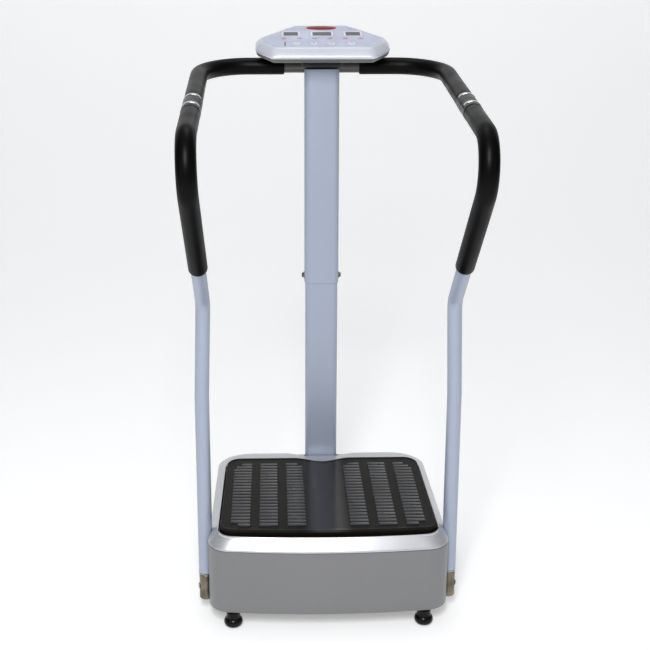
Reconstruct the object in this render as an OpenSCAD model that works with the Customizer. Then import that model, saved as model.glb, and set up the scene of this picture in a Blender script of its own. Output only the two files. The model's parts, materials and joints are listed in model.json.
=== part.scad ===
// Vibration plate: a rocking standing platform in a low housing, with a
// column, a console and two curved handrails that come down to its sides.
// Millimetres. +Z up, -Y towards the user, origin under the middle of the
// whole machine on the floor.

/* [Housing] */
// Half width of the housing at the front
base_half_front = 270; // [262:1:280]
// Half width of the housing at the back
base_half_rear = 263; // [258:1:270]
// Front of the housing, behind the platform's middle line
base_front = 236; // [232:1:244]
// Back of the housing
base_rear = 265; // [264:1:272]
// Height of the housing's lower edge
base_bottom = 37.5; // [34:0.5:40]
// Height of the joint between housing and cover
base_seam = 190; // [186:1:191]
// Height of the flat top of the cover
cover_top = 218; // [216:1:219]
// Wall of the plastic shells
shell = 3; // [2:0.5:3]

/* [Platform] */
// Height of the standing surface
mat_top = 230; // [229.5:0.1:231]
// Rib columns on each side of the mat
rib_columns = 3; // [1:1:3]
// Throw of the eccentric shaft
throw = 4; // [2:0.5:4]

/* [Column] */
// Width of the lower post
post_w = 80; // [78:1:80]
// Depth of the lower post
post_d = 46; // [42:1:47]
// Wall of both posts
post_wall = 2; // [1.5:0.5:2]

/* [Handrails] */
// Outer diameter of the handrail tube
rail_d = 32; // [30:0.5:32]
// Outer diameter of the foam grips
grip_d = 40.4; // [37:0.2:42]
// Height of the cross tube
crossbar_z = 1197; // [1190:1:1200]
// Reach of the handrail's upper bend point in front of the platform's middle
rail_reach = 473; // [460:1:480]

/* [Console] */
// Tilt of the console towards the user, degrees
console_tilt = 15; // [10:1:18]
// Depth of the console
console_depth = 190; // [186:1:194]

/* [Hidden] */
$fn = 48;
eps = 0.01;

// ---- driving places ----
cover_rise = 3;
cover_inset = 20;
cover_rear = 214;
front_corner_r = 50;
rear_corner_r = 75;
front_bow = 12;
deck_front = 204;
deck_far = 166;
deck_half_front = 243;
deck_half_rear = 238;
deck_bow = 8;
notch_r = 72.5;
deck_front_r = 25;
deck_rear_r = 34;
notch_depth = 20;
deck_bottom = 206;
deck_top = 222;
mat_sheet_top = 228.5;
frame_bottom = 44;
frame_top = 69;
frame_half = 226;
pivot_z = 172;
crank_z = 100;
crank_x = 170;
pin_z = 157;
beam_bottom = 190;
beam_y = [-120, 110];
bump_x = 205;
rock = atan(throw / crank_x);
bump_top = beam_bottom - bump_x * sin(rock) - 1.5;
motor_y = 112;
motor_z = 112;
pulley_x = -60;
foot_x = 215;
foot_front_y = -212;
foot_rear_y = 205;
wheel_x = 165;
wheel_y = 256;
wheel_z = 34;
inlet_z = 110;
switch_x = 169.5;
switch_tilt = 9;
bolt_z = 684;

// Rail centre line of the right side, from the cross tube to the floor end
bar_y = 300;
rail_r = rail_d / 2;
tube_wall = 2;
tie = 0.5;
joint = 0.02;
grip_r = grip_d / 2;
grip_inner_x = 90;
corner_bend = 115;
bulge_bend = 72;
sleeve_bore_r = rail_r + 0.15;
corner = [291, bar_y, crossbar_z];
bulge = [280, -rail_reach, 1122];
knee = [272.5, -122, 733];
shin = [279.5, -126, 520];
rail_end = [278.5, -146, 98];
rail_bends = [0, corner_bend, bulge_bend, 60, 150, 0];
rail_path = [[grip_inner_x, bar_y, crossbar_z], corner, bulge, knee, shin, rail_end];
grip_low = on_run(bulge, knee, 0.735);
sensor_rear = on_run(corner, bulge, 0.4916);
sensor_front = on_run(corner, bulge, 0.634);

// Post front face, as [height, y] at each kink
lean = [[50, 208.7], [478, 223.6], [954, 252.7], [1215, 277.8]];
sleeve_z = 668;
post_top = 1192;
insert_z = 820;

// Console body: outline corners as [half width, depth]
console_y = 200;
console_z = 1209.7;
seam_w = 11;
lip_w = 17.7;
face_w = 33.4;
overlay_t = 0.8;
lip_outline = [[120, 3], [159, 50], [159, 105], [70, console_depth]];
face_outline = [[113, 21], [148, 58], [148, 92], [63, 181]];
windows = [[-74.5, 34], [0, 44], [74.5, 34]];
window_v = 117;
window_h = 27;
keys = [-62, -21, 20, 68];
key_v = 49;
key_r = 9.2;
lamps = [-92, -54, -18, 18, 54, 92];
lamp_v = 82;
badge_v = 157;
badge_peg_r = 8;

// The machine is centred front to back on its whole depth
front_reach = grip_r + rail_bends[2] - bend_centre(corner, bulge, knee, rail_bends[2]).y;
rear_reach = console_y + console_depth * cos(console_tilt) - lip_w * sin(console_tilt);
centre_y = (front_reach - rear_reach) / 2;

module placed() translate([0, centre_y, 0]) children();
module both_sides() {
    children();
    mirror([1, 0, 0]) children();
}

// ---- vectors ----
function unit(v) = v / norm(v);
function on_run(a, b, t) = a + t * (b - a);
function side_axis(w) = unit(cross(abs(w.z) < 0.9 ? [0, 0, 1] : [1, 0, 0], w));
function turn(a, b, c) = 180 - acos(unit(a - b) * unit(c - b));
function cut_back(a, b, c, r) = r * tan(turn(a, b, c) / 2);
function bend_centre(a, b, c, r) =
    b + unit(unit(a - b) + unit(c - b)) * r / cos(turn(a, b, c) / 2);
function columns(x, y, z, o) =
    [[x.x, y.x, z.x, o.x], [x.y, y.y, z.y, o.y], [x.z, y.z, z.z, o.z], [0, 0, 0, 1]];

module between(a, b) {
    w = unit(b - a);
    x = side_axis(w);
    multmatrix(columns(x, cross(w, x), w, a)) children();
}

module bar(a, b, r) between(a, b) cylinder(r = r, h = norm(b - a));

module pipe(a, b, r, inner) {
    between(a, b) difference() {
        cylinder(r = r, h = norm(b - a));
        translate([0, 0, -1]) cylinder(r = inner, h = norm(b - a) + 2);
    }
}

module bend(a, b, c, bend_r, r, inner) {
    o = bend_centre(a, b, c, bend_r);
    start = unit(b + unit(a - b) * cut_back(a, b, c, bend_r) - o);
    end = unit(b + unit(c - b) * cut_back(a, b, c, bend_r) - o);
    up = unit(cross(start, end));
    multmatrix(columns(start, cross(up, start), up, o))
        rotate_extrude(angle = turn(a, b, c)) translate([bend_r, 0]) difference() {
            circle(r);
            circle(inner);
        }
}

// A tube along straight runs joined by bends. A hairline joint parts each run
// from the next bend, and a ring inside the wall ties the two together.
module bent_tube(p, bends, r, inner) {
    $fn = 32;
    last = len(p) - 1;
    for (i = [0 : last - 1]) {
        along = unit(p[i + 1] - p[i]);
        from = p[i] + along * (i == 0 ? 0 : cut_back(p[i - 1], p[i], p[i + 1], bends[i]));
        to = p[i + 1] - along * (i == last - 1 ? 0
            : cut_back(p[i], p[i + 1], p[i + 2], bends[i + 1]));
        pipe(from + along * joint, to - along * joint, r, inner);
        if (i > 0) pipe(from - along, from + along, r - tie, inner + tie);
        if (i < last - 1) pipe(to - along, to + along, r - tie, inner + tie);
    }
    for (i = [1 : last - 1]) bend(p[i - 1], p[i], p[i + 1], bends[i], r, inner);
}

// ---- outlines ----
module four_corners(front, half_front, r_front, rear, half_rear, r_rear) {
    for (side = [-1, 1]) {
        translate([side * (half_front - r_front), r_front - front]) circle(r_front);
        translate([side * (half_rear - r_rear), rear - r_rear]) circle(r_rear);
    }
}

// Plan of the housing, drawn in by inset at the sides and cut off at rear
module base_plan(inset, rear) {
    hull() {
        four_corners(base_front - front_bow - inset, base_half_front - inset,
            front_corner_r - inset / 2, rear, base_half_rear - inset,
            rear_corner_r - inset / 2);
        polygon([for (t = [-1 : 0.125 : 1])
            [t * 200, inset - base_front + front_bow * t * t * 0.83]]);
    }
}

// Plan of the platform, grown by gap all round and by lead at the front
module deck_plan(gap, lead = 0) {
    front = deck_front + gap + lead;
    difference() {
        hull() {
            four_corners(front - deck_bow, deck_half_front + gap, deck_front_r + gap,
                deck_far + gap, deck_half_rear + gap, deck_rear_r + gap);
            polygon([for (t = [-1 : 0.125 : 1]) [t * 205, -front + deck_bow * t * t * 0.9]]);
        }
        translate([0, deck_far - notch_depth + notch_r]) circle(notch_r - gap);
    }
}

module slab(z0, z1) translate([0, 0, z0]) linear_extrude(z1 - z0) children();
module block(x0, x1, y0, y1, z0, z1) {
    translate([x0, y0, z0]) cube([x1 - x0, y1 - y0, z1 - z0]);
}
// A cylinder along X from x0 to x1
module rod_x(x0, x1, y, z, r) {
    translate([x0, y, z]) rotate([0, 90, 0]) cylinder(r = r, h = x1 - x0);
}
// A cylinder along Y from y0 to y1
module rod_y(y0, y1, x, z, r) {
    translate([x, y0, z]) rotate([-90, 0, 0]) cylinder(r = r, h = y1 - y0);
}
// A profile in Y and Z, extruded across X from x0 to x1
module sheet_x(x0, x1) {
    translate([x0, 0, 0]) rotate([90, 0, 90]) linear_extrude(x1 - x0) children();
}

// The clear channel in which the rail tube runs down beside the housing
module rail_channel(r) {
    both_sides() bar(on_run(rail_end, shin, -0.17), on_run(rail_end, shin, 0.32), r);
}

// ---- housing ----
module lower_housing() {
    color([0.50, 0.50, 0.51]) placed() difference() {
        slab(base_bottom, base_seam) base_plan(0, base_rear);
        difference() {
            slab(base_bottom - 1, base_seam + 1) base_plan(shell, base_rear - shell);
            rail_channel(rail_r + 2.5 + shell);
        }
        rail_channel(rail_r + 2.5);
        both_sides() {
            block(240, 275, -164, -132, 46, 94);
            block(wheel_x - 15, wheel_x + 15, 225, 275, 30, 64);
        }
        block(112, 188, 250, 275, 86, 134);
    }
}

module cover_body(inset, drop) {
    hull() {
        slab(base_seam - drop, base_seam + cover_rise) base_plan(inset, base_rear - inset);
        slab(cover_top - inset - 0.5, cover_top - inset)
            base_plan(cover_inset + inset, cover_rear - inset);
    }
}

module top_cover() {
    color([0.86, 0.87, 0.89]) placed() difference() {
        cover_body(0, 0);
        difference() {
            cover_body(shell, 1);
            rail_channel(rail_r + 2.5 + shell);
        }
        slab(base_seam - 2, cover_top + 1) deck_plan(4.5, 6);
        rail_channel(rail_r + 2.5);
        block(-post_w / 2 - 4, post_w / 2 + 4, 209, base_rear - shell, base_seam - 1, 230);
    }
}

module bottom_plate() {
    color([0.25, 0.25, 0.26]) placed() difference() {
        slab(frame_bottom - 1.5, frame_bottom) base_plan(shell + 0.5, base_rear - shell - 0.5);
        rail_channel(rail_r + 2.5 + shell);
        both_sides() {
            for (y = [foot_front_y, foot_rear_y])
                translate([foot_x, y, 40]) cylinder(r = 6, h = 6);
            block(wheel_x - 15, wheel_x + 15, 215, 275, 40, 46);
        }
    }
}

// Welded steel frame on the floor of the housing: a ladder of bars, the two
// stands of the platform's pivot, the post's cheeks and the wheel forks
module base_frame() {
    color([0.16, 0.16, 0.17]) placed() difference() {
        union() {
            difference() {
                block(-frame_half, frame_half, -219, 228, frame_bottom, frame_top);
                block(-115, 115, -150, 150, frame_bottom - 1, frame_top + 1);
                both_sides() block(145, 196, -150, 150, frame_bottom - 1, frame_top + 1);
            }
            both_sides() {
                block(35, 45, 215, 256, frame_top - 10, 140);
                for (side = [-1, 1])
                    sheet_x(wheel_x + side * 12 - 1.5, wheel_x + side * 12 + 1.5)
                        polygon([[222, 50], [222, 64], [242, 64], [267, 42],
                            [267, 29], [246, 25], [238, 50]]);
            }
            block(-50, 50, 222, 258, frame_bottom + 1, 50);
            for (y = [-165, 165]) translate([0, y + 5, 0]) rotate([90, 0, 0])
                linear_extrude(10) polygon([[-45, 66], [45, 66], [28, 148], [-28, 148]]);
        }
        both_sides() {
            for (y = [foot_front_y, foot_rear_y])
                translate([foot_x, y, 40]) cylinder(r = 5, h = 40);
            rod_x(wheel_x - 14, wheel_x + 14, wheel_y, wheel_z, 4);
        }
        block(-post_w / 2 - 0.2, post_w / 2 + 0.2, 205, 260, 50, 141);
    }
}

// ---- platform ----
module rubber_mat() {
    pad_w = 41;
    pad_pitch = 63;
    pad_start = 50;
    color([0.13, 0.13, 0.12]) placed() {
        slab(deck_top, mat_sheet_top) deck_plan(0);
        both_sides() for (i = [0 : rib_columns - 1]) {
            x = pad_start + i * pad_pitch;
            block(x, x + pad_w, i == 2 ? -162 : -178, i == 2 ? 120 : 130,
                mat_sheet_top - eps, mat_top);
        }
    }
}

module platform_deck() {
    color([0.17, 0.14, 0.12]) placed() slab(deck_bottom, deck_top) deck_plan(-1.5);
}

module platform_frame() {
    color([0.18, 0.18, 0.19]) placed() difference() {
        union() {
            for (y = beam_y) block(-222, 222, y - 15, y + 15, beam_bottom, deck_bottom);
            both_sides() {
                block(155, 185, -150, 140, beam_bottom, deck_bottom);
                for (x = [155.5, 180.5]) block(x, x + 4, -14, 14, 145, beam_bottom + 1);
            }
            for (y = beam_y) block(-25, 25, y - 5, y + 5, 156, beam_bottom + 1);
        }
        rod_y(-150, 150, 0, pivot_z, 12);
        both_sides() rod_x(150, 190, 0, pin_z, 6);
    }
}

module pivot_shaft() {
    color([0.75, 0.76, 0.78]) placed() rod_y(-182, 182, 0, pivot_z, 12);
}

module rod_pins() {
    color([0.70, 0.71, 0.73]) placed() both_sides() {
        rod_x(153, 188, 0, pin_z, 6);
        rod_x(149, 153, 0, pin_z, 9);
    }
}

module pivot_bearings() {
    color([0.32, 0.34, 0.37]) placed() for (y = [-165, 165]) difference() {
        union() {
            rod_y(y - 11, y + 11, 0, pivot_z, 21);
            block(-27, 27, y - 11, y + 11, 148, 156);
            block(-19, 19, y - 11, y + 11, 148, pivot_z);
        }
        rod_y(y - 12, y + 12, 0, pivot_z, 12.05);
    }
}

// ---- drive ----
module shaft_bearings() {
    color([0.32, 0.34, 0.37]) placed() for (x = [-130, 130]) difference() {
        union() {
            rod_x(x - 11, x + 11, 0, crank_z, 21);
            block(x - 12, x + 12, -34, 34, frame_top, frame_top + 8);
            block(x - 11, x + 11, -20, 20, frame_top, crank_z);
        }
        rod_x(x - 13, x + 13, 0, crank_z, 10.05);
        for (y = [-27, 27]) translate([x, y, frame_top - 1]) cylinder(r = 4, h = 12);
    }
}

// Shaft with two eccentric journals half a turn apart
module eccentric_shaft() {
    color([0.72, 0.73, 0.75]) placed() {
        rod_x(-192, 192, 0, crank_z, 10);
        rod_x(-crank_x - 11, -crank_x + 11, throw, crank_z, 15);
        rod_x(crank_x - 11, crank_x + 11, -throw, crank_z, 15);
    }
}

// Flanged flat-belt pulley about the X axis
module pulley(r, flange, bore, y, z) {
    difference() {
        union() {
            rod_x(pulley_x - 8, pulley_x + 8, y, z, r);
            for (x = [pulley_x - 10, pulley_x + 8]) rod_x(x, x + 2, y, z, flange);
        }
        rod_x(pulley_x - 11, pulley_x + 11, y, z, bore);
    }
}

module driven_pulley() color([0.62, 0.63, 0.65]) placed() pulley(45, 48.5, 10, 0, crank_z);
module motor_pulley() color([0.62, 0.63, 0.65]) placed() pulley(18, 21.5, 6, motor_y, motor_z);

module belt_loop(grow) {
    hull() {
        translate([0, crank_z]) circle(45.4 + grow);
        translate([motor_y, motor_z]) circle(18.4 + grow);
    }
}

module drive_belt() {
    color([0.08, 0.08, 0.08]) placed() sheet_x(pulley_x - 6.5, pulley_x + 6.5) difference() {
        belt_loop(3);
        belt_loop(0);
    }
}

module connecting_rod(x, y) {
    difference() {
        union() {
            rod_x(x - 9, x + 9, y, crank_z, 23);
            rod_x(x - 9, x + 9, y, pin_z, 20.5);
            block(x - 6, x + 6, y - 9, y + 9, crank_z + 15, pin_z - 15);
        }
        rod_x(x - 10, x + 10, y, crank_z, 15.05);
        rod_x(x - 10, x + 10, y, pin_z, 15);
    }
}

module left_connecting_rod() {
    color([0.66, 0.67, 0.69]) placed() connecting_rod(-crank_x, throw);
}
module right_connecting_rod() {
    color([0.66, 0.67, 0.69]) placed() connecting_rod(crank_x, -throw);
}

module motor_housing() {
    color([0.12, 0.12, 0.13]) placed() difference() {
        union() {
            rod_x(-34, 112, motor_y, motor_z, 38);
            rod_x(-40, -34, motor_y, motor_z, 16);
        }
        rod_x(-28, 106, motor_y, motor_z, 33);
        rod_x(-41, 100, motor_y, motor_z, 6.05);
    }
}

module motor_rotor() {
    color([0.55, 0.48, 0.42]) placed() {
        rod_x(-72, 104, motor_y, motor_z, 6);
        rod_x(-5, 80, motor_y, motor_z, 27);
        rod_x(84, 96, motor_y, motor_z, 15);
    }
}

module motor_bracket() {
    color([0.45, 0.46, 0.48]) placed() difference() {
        union() {
            block(-122, 122, motor_y - 34, motor_y + 34, frame_top, frame_top + 3);
            for (x = [-22, 84]) block(x, x + 12, motor_y - 30, motor_y + 30, frame_top, 96);
        }
        rod_x(-130, 130, motor_y, motor_z, 38);
    }
}

module bump_stops() {
    color([0.10, 0.10, 0.10]) placed() both_sides() for (y = beam_y)
        translate([bump_x, y, frame_top]) cylinder(r1 = 17, r2 = 11, h = bump_top - frame_top);
}

// ---- electrics ----
module transformer() {
    color([0.35, 0.33, 0.30]) placed() {
        block(-108, -50, -142, -100, frame_bottom, 92);
        block(-100, -58, -148, -94, 52, 84);
    }
}

module control_board() {
    color([0.10, 0.30, 0.17]) placed() {
        block(-35, 105, -145, -70, 52, 53.6);
        for (x = [-29, 99], y = [-139, -76])
            translate([x, y, frame_bottom]) cylinder(r = 3, h = 8);
        for (x = [-15, 10]) translate([x, -90, 53.6 - eps]) cylinder(r = 9, h = 30);
        block(30, 95, -142, -134, 53.6 - eps, 86);
        block(35, 60, -120, -85, 53.6 - eps, 70);
        block(70, 88, -120, -95, 53.6 - eps, 68);
    }
}

// Moulded panel with the mains inlet and the opening for the switch
module power_inlet() {
    color([0.06, 0.06, 0.07]) placed() {
        difference() {
            union() {
                block(108, 192, base_rear, base_rear + 2.5, 82, 138);
                block(112.5, 187.5, 252, base_rear + 1, 86.5, 133.5);
                block(119, 153, 238, 253, inlet_z - 16, inlet_z + 16);
            }
            block(123, 149, 244, 270, inlet_z - 10, inlet_z + 10);
            block(switch_x - 7.5, switch_x + 7.5, 240, 270, inlet_z - 12.5, inlet_z + 12.5);
        }
        for (x = [129, 136, 143])
            block(x - 1, x + 1, 243, 258, inlet_z - 2, inlet_z + 2);
    }
}

module power_switch() {
    color([0.75, 0.08, 0.06]) placed() translate([switch_x, base_rear - 5, inlet_z])
        rotate([switch_tilt, 0, 0]) intersection() {
            rod_x(-6.9, 6.9, 0, 0, 11.8);
            block(-8, 8, -5, 8, -12, 12);
        }
}

// ---- column ----
function post_points(rows, dy) = [for (r = rows) [r[1] + dy, r[0]]];
function reverse(v) = [for (i = [len(v) - 1 : -1 : 0]) v[i]];
function front_at(z) = lookup(z, lean);
function rows(z0, z1) = concat([[z0, front_at(z0)]],
    [for (r = lean) if (r[0] > z0 && r[0] < z1) r], [[z1, front_at(z1)]]);

module post(z0, z1, w, front, back, wall) {
    r = rows(z0, z1);
    difference() {
        sheet_x(-w / 2, w / 2)
            polygon(concat(post_points(r, front), reverse(post_points(r, back))));
        inner = rows(z0 - 1, z1 + 1);
        sheet_x(wall - w / 2, w / 2 - wall)
            polygon(concat(post_points(inner, front + wall),
                reverse(post_points(inner, back - wall))));
    }
}

module lower_post() {
    color([0.62, 0.67, 0.76]) placed() difference() {
        post(50, insert_z, post_w, 0, post_d, post_wall);
        rod_x(-60, 60, front_at(bolt_z) + post_d / 2, bolt_z, 5);
    }
}

module upper_post() {
    color([0.66, 0.71, 0.80]) placed() difference() {
        post(sleeve_z, post_top, post_w + 2 * post_wall + 0.4, -post_wall - 0.2,
            post_d + post_wall + 0.2, post_wall);
        rod_x(-60, 60, front_at(bolt_z) + post_d / 2, bolt_z, 5);
        rod_x(-60, 60, bar_y, crossbar_z, rail_r);
    }
}

module post_bolt() {
    y = front_at(bolt_z) + post_d / 2;
    half = post_w / 2 + post_wall + 0.2;
    color([0.22, 0.22, 0.24]) placed() {
        rod_x(-half - 1, half + 1, y, bolt_z, 5);
        both_sides() {
            rod_x(half, half + 1.5, y, bolt_z, 9);
            rod_x(half + 1.5, half + 8, y, bolt_z, 6.5);
        }
    }
}

// ---- handrails ----
module crossbar() {
    stub = tube_wall + 0.05;
    color([0.42, 0.43, 0.44]) placed() difference() {
        union() {
            rod_x(-grip_inner_x, grip_inner_x, bar_y, crossbar_z, rail_r);
            rod_x(-grip_inner_x - 45, grip_inner_x + 45, bar_y, crossbar_z, rail_r - stub);
        }
        rod_x(-200, 200, bar_y, crossbar_z, rail_r - stub - 2);
    }
}

module handrail() bent_tube(rail_path, rail_bends, rail_r, rail_r - tube_wall);
module left_handrail() color([0.62, 0.67, 0.76]) placed() mirror([1, 0, 0]) handrail();
module right_handrail() color([0.62, 0.67, 0.76]) placed() handrail();

module rear_grip() {
    bent_tube([[grip_inner_x, bar_y, crossbar_z], corner, sensor_rear], [0, corner_bend, 0],
        grip_r, sleeve_bore_r);
}
module front_grip() {
    bent_tube([sensor_front, bulge, grip_low], [0, bulge_bend, 0], grip_r, sleeve_bore_r);
}
module left_rear_grip() color([0.11, 0.11, 0.11]) placed() mirror([1, 0, 0]) rear_grip();
module right_rear_grip() color([0.11, 0.11, 0.11]) placed() rear_grip();
module left_front_grip() color([0.11, 0.11, 0.11]) placed() mirror([1, 0, 0]) front_grip();
module right_front_grip() color([0.11, 0.11, 0.11]) placed() front_grip();

module sensor_collar() {
    difference() {
        bar(sensor_rear, sensor_front, grip_r + 0.5);
        bar(sensor_rear, sensor_front, sleeve_bore_r);
    }
}
module left_sensor_collar() {
    color([0.14, 0.14, 0.13]) placed() mirror([1, 0, 0]) sensor_collar();
}
module right_sensor_collar() color([0.14, 0.14, 0.13]) placed() sensor_collar();

// Two curved metal plates on the upper side of each collar
module pulse_contacts() {
    color([0.80, 0.80, 0.82]) placed() both_sides() intersection() {
        for (t = [[0.06, 0.22], [0.70, 0.86]]) difference() {
            bar(on_run(sensor_rear, sensor_front, t[0]),
                on_run(sensor_rear, sensor_front, t[1]), grip_r + 1.7);
            bar(sensor_rear, sensor_front, grip_r + 0.5);
        }
        block(260, 320, -240, 0, 1158, 1190);
    }
}

// Steel stubs on the frame that the rail tubes slide over
module rail_sockets() {
    foot = on_run(rail_end, shin, -0.155);
    shoulder = on_run(rail_end, shin, -0.004);
    top = on_run(rail_end, shin, 0.15);
    color([0.62, 0.57, 0.50]) placed() both_sides() difference() {
        union() {
            bar(foot, shoulder, rail_r - 0.6);
            bar(foot, top, rail_r - tube_wall - 0.1);
            block(frame_half, 272, -158, -140, 50, 90);
        }
        rod_x(230, 300, -149, 62, 4.2);
    }
}

module rail_bolts() {
    color([0.80, 0.80, 0.80]) placed() both_sides() {
        rod_x(236, 294, -149, 62, 4.2);
        rod_x(294, 296, -149, 62, 6.5);
    }
}

// ---- console ----
module console_frame() {
    placed() translate([0, console_y, console_z]) rotate([console_tilt, 0, 0]) children();
}
module octagon(half, round) {
    offset(r = round) offset(delta = -round)
        polygon(concat(half, [for (i = [3 : -1 : 0]) [-half[i].x, half[i].y]]));
}
module lip_plan(inset) offset(delta = -inset) octagon(lip_outline, 16);
module face_plan(inset) offset(delta = -inset) octagon(face_outline, 16);

module console_lower_shell() {
    color([0.42, 0.41, 0.40]) console_frame() difference() {
        hull() {
            slab(0, 0.5) lip_plan(9);
            slab(seam_w - 3, seam_w) lip_plan(2);
        }
        hull() {
            slab(2.5, 3) lip_plan(11);
            slab(seam_w - 2, seam_w + 1) lip_plan(4.5);
        }
    }
}

module console_outer(inset) {
    hull() {
        slab(seam_w - (inset > 0 ? 1 : 0), seam_w + 0.5) lip_plan(1.5 + inset);
        slab(lip_w - inset, lip_w - inset + 0.5) lip_plan(inset);
        slab(face_w - inset - 0.5, face_w - inset) face_plan(inset);
    }
}

module console_upper_shell() {
    color([0.84, 0.86, 0.90]) console_frame() difference() {
        console_outer(0);
        console_outer(2.5);
        for (w = windows) translate([w[0], window_v, face_w - 5])
            linear_extrude(10) square([w[1], window_h], center = true);
        for (x = keys) translate([x, key_v, face_w - 5]) cylinder(r = key_r + 0.5, h = 10);
    }
}

module console_overlay() {
    color([0.78, 0.80, 0.87]) console_frame() difference() {
        slab(face_w, face_w + overlay_t) face_plan(7);
        for (w = windows) translate([w[0], window_v, face_w - 1])
            linear_extrude(5) square([w[1], window_h], center = true);
        for (x = keys) translate([x, key_v, face_w - 1]) cylinder(r = key_r + 0.5, h = 5);
        for (x = lamps) translate([x, lamp_v, face_w - 1])
            linear_extrude(5) square([14, 6], center = true);
        translate([0, badge_v, face_w - 1]) cylinder(r = badge_peg_r, h = 5);
    }
}

module display_windows() {
    color([0.30, 0.31, 0.33]) console_frame() for (w = windows)
        translate([w[0], window_v, face_w - 2]) linear_extrude(2.2)
            square([w[1], window_h], center = true);
}

module indicator_lamps() {
    color([0.75, 0.25, 0.27]) console_frame() for (x = lamps)
        translate([x, lamp_v, face_w]) linear_extrude(overlay_t)
            square([14, 6], center = true);
}

// Plain oval badge at the far edge of the face
module console_badge() {
    color([0.60, 0.12, 0.13]) console_frame() {
        translate([0, badge_v, face_w]) cylinder(r = badge_peg_r, h = 1.5);
        translate([0, badge_v, face_w + overlay_t]) linear_extrude(1.5)
            resize([74, 27]) circle(13.5);
    }
}

module console_board() {
    color([0.10, 0.30, 0.17]) console_frame() {
        translate([0, 84, 21]) linear_extrude(1.6) square([210, 110], center = true);
        for (x = keys) translate([x, key_v, 22.6 - eps]) cylinder(r = 3, h = 3.9);
        for (w = windows) translate([w[0], window_v, 22.6 - eps])
            linear_extrude(8) square([w[1] - 2, window_h - 2], center = true);
        for (x = [-90, 90], y = [40, 128]) translate([x, y, 2.5]) cylinder(r = 3, h = 19);
    }
}

module key(i) {
    color([0.90, 0.90, 0.92]) console_frame() translate([keys[i], key_v, 0]) {
        translate([0, 0, 28]) cylinder(r = key_r, h = face_w + overlay_t + 1.2 - 28);
        translate([0, 0, 28]) cylinder(r = key_r + 1.5, h = 1.5);
    }
}
module key_1() key(0);
module key_2() key(1);
module key_3() key(2);
module key_4() key(3);

// Bent plate between the cross tube and the console's floor
module console_bracket() {
    color([0.30, 0.31, 0.33]) {
        console_frame() block(-55, 55, 62, 150, -3, 0);
        placed() both_sides() difference() {
            sheet_x(46, 50) polygon([[283, crossbar_z], [317, crossbar_z], [322, 1240.4],
                [278, 1228.6]]);
            rod_x(40, 60, bar_y, crossbar_z, rail_r);
        }
    }
}

// ---- feet and wheels ----
module foot_studs() {
    color([0.65, 0.66, 0.68]) placed() both_sides()
        for (y = [foot_front_y, foot_rear_y]) translate([foot_x, y, 12])
            cylinder(r = 5, h = frame_top + 3 - 12);
}

// Bulb-shaped rubber foot, flat underneath
module foot(x, y) {
    color([0.05, 0.05, 0.05]) placed() translate([x, y, 0]) difference() {
        rotate_extrude() polygon(concat([[0, 0], [13, 0]],
            [for (a = [-60 : 15 : 60]) [12 + 9 * cos(a), 11 + 9 * sin(a) * 1.2]],
            [[15.5, 25], [15, 36], [0, 36]]));
        translate([0, 0, 11.9]) cylinder(r = 5.05, h = 40);
    }
}
module front_left_foot() foot(-foot_x, foot_front_y);
module front_right_foot() foot(foot_x, foot_front_y);
module rear_left_foot() foot(-foot_x, foot_rear_y);
module rear_right_foot() foot(foot_x, foot_rear_y);

module wheel_axles() {
    color([0.70, 0.71, 0.73]) placed() both_sides() {
        rod_x(wheel_x - 14, wheel_x + 14, wheel_y, wheel_z, 4);
        for (x = [wheel_x - 16, wheel_x + 13.5]) rod_x(x, x + 2.5, wheel_y, wheel_z, 6);
    }
}

// Transport wheel with a rounded tread, bored for its axle
module wheel(x) {
    color([0.09, 0.09, 0.09]) placed() translate([x, wheel_y, wheel_z]) rotate([0, 90, 0])
        rotate_extrude() polygon([[4.05, -9], [20, -9], [23, -7], [24, -4], [24, 4],
            [23, 7], [20, 9], [4.05, 9]]);
}
module left_wheel() wheel(-wheel_x);
module right_wheel() wheel(wheel_x);

lower_housing();
top_cover();
bottom_plate();
base_frame();
rubber_mat();
platform_deck();
platform_frame();
pivot_shaft();
rod_pins();
pivot_bearings();
shaft_bearings();
eccentric_shaft();
driven_pulley();
left_connecting_rod();
right_connecting_rod();
drive_belt();
motor_housing();
motor_rotor();
motor_pulley();
motor_bracket();
bump_stops();
transformer();
control_board();
power_inlet();
power_switch();
lower_post();
upper_post();
post_bolt();
crossbar();
left_handrail();
right_handrail();
left_rear_grip();
right_rear_grip();
left_front_grip();
right_front_grip();
left_sensor_collar();
right_sensor_collar();
pulse_contacts();
rail_sockets();
rail_bolts();
console_bracket();
console_lower_shell();
console_upper_shell();
console_overlay();
display_windows();
indicator_lamps();
console_badge();
console_board();
key_1();
key_2();
key_3();
key_4();
foot_studs();
front_left_foot();
front_right_foot();
rear_left_foot();
rear_right_foot();
wheel_axles();
left_wheel();
right_wheel();
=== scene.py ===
"""Looks of the vibration plate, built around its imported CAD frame.

Lengths are in metres in the row frame. Shapes are written in millimetres from the
platform's middle line, like the CAD source, and at() turns them into the row frame.
"""

import json
from math import ceil, cos, degrees, hypot, pi, radians, sin, sqrt, tan

import bmesh
import bpy
import numpy as np
from mathutils import Matrix, Vector


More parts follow.
